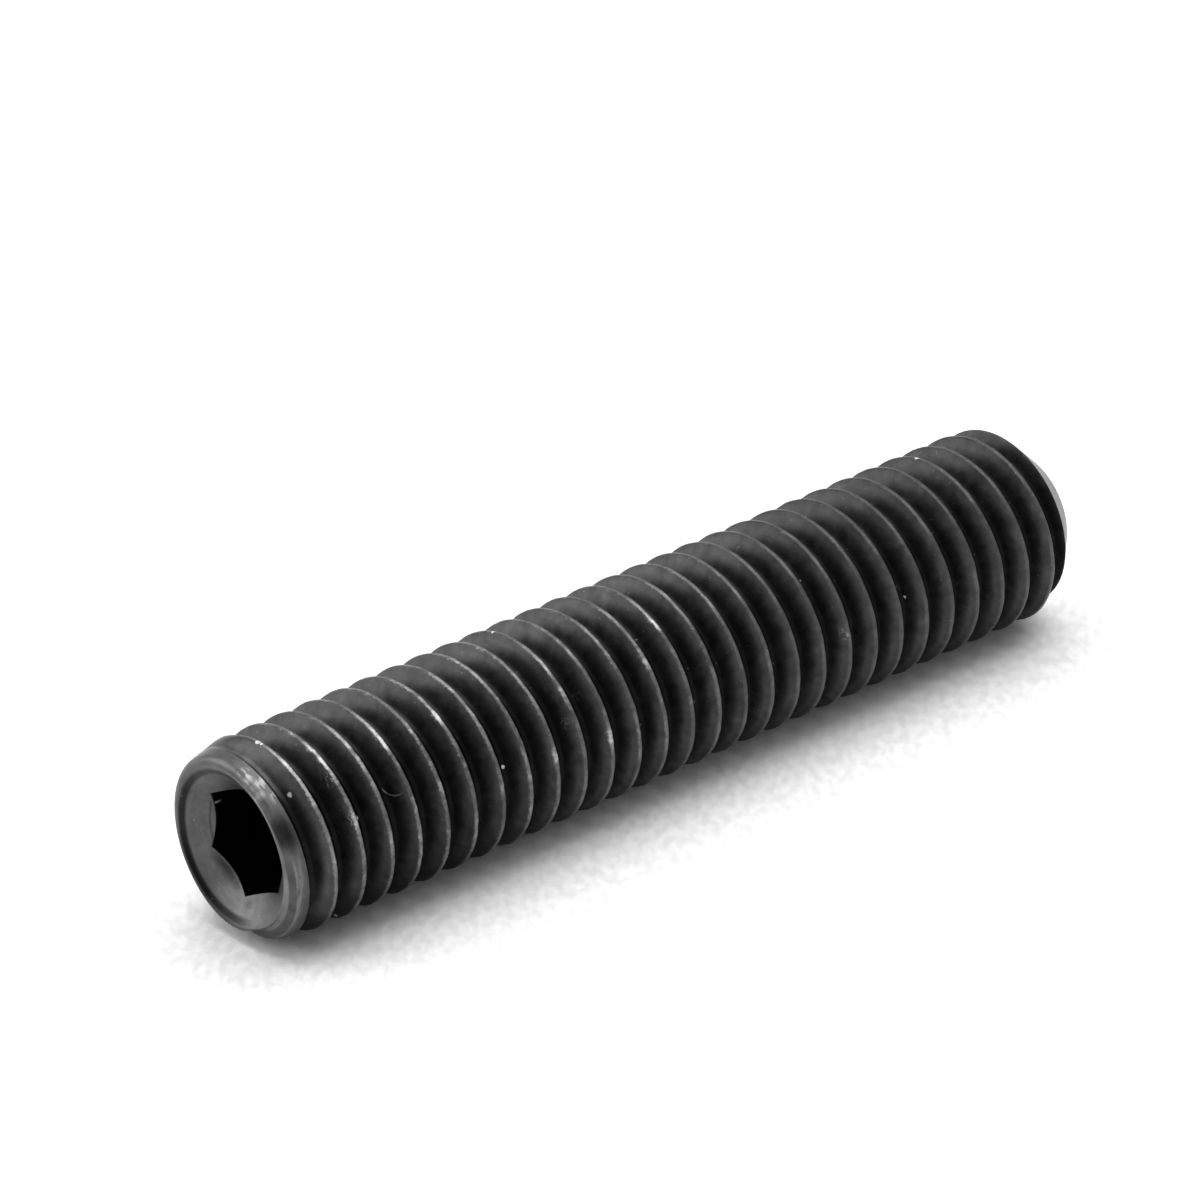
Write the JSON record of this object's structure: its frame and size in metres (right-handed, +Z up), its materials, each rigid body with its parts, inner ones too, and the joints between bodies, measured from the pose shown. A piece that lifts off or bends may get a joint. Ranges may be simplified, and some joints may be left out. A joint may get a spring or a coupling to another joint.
{
  "type": "adjusting screw",
  "caption": "Headless adjusting screw, threaded over its whole length, with a hexagon socket in one end and a chamfered flat point at the other.",
  "frame": {"origin": "on the ground plane under the middle of the screw as it lies on its thread crests", "axes": "+X along the screw's axis from the socket end to the point, +Z up"},
  "size_m": [0.03, 0.006, 0.006],
  "materials": {
    "black_oxide": "satin"
  },
  "bodies": {
    "root": {"screw": "black_oxide"}
  },
  "joints": []
}
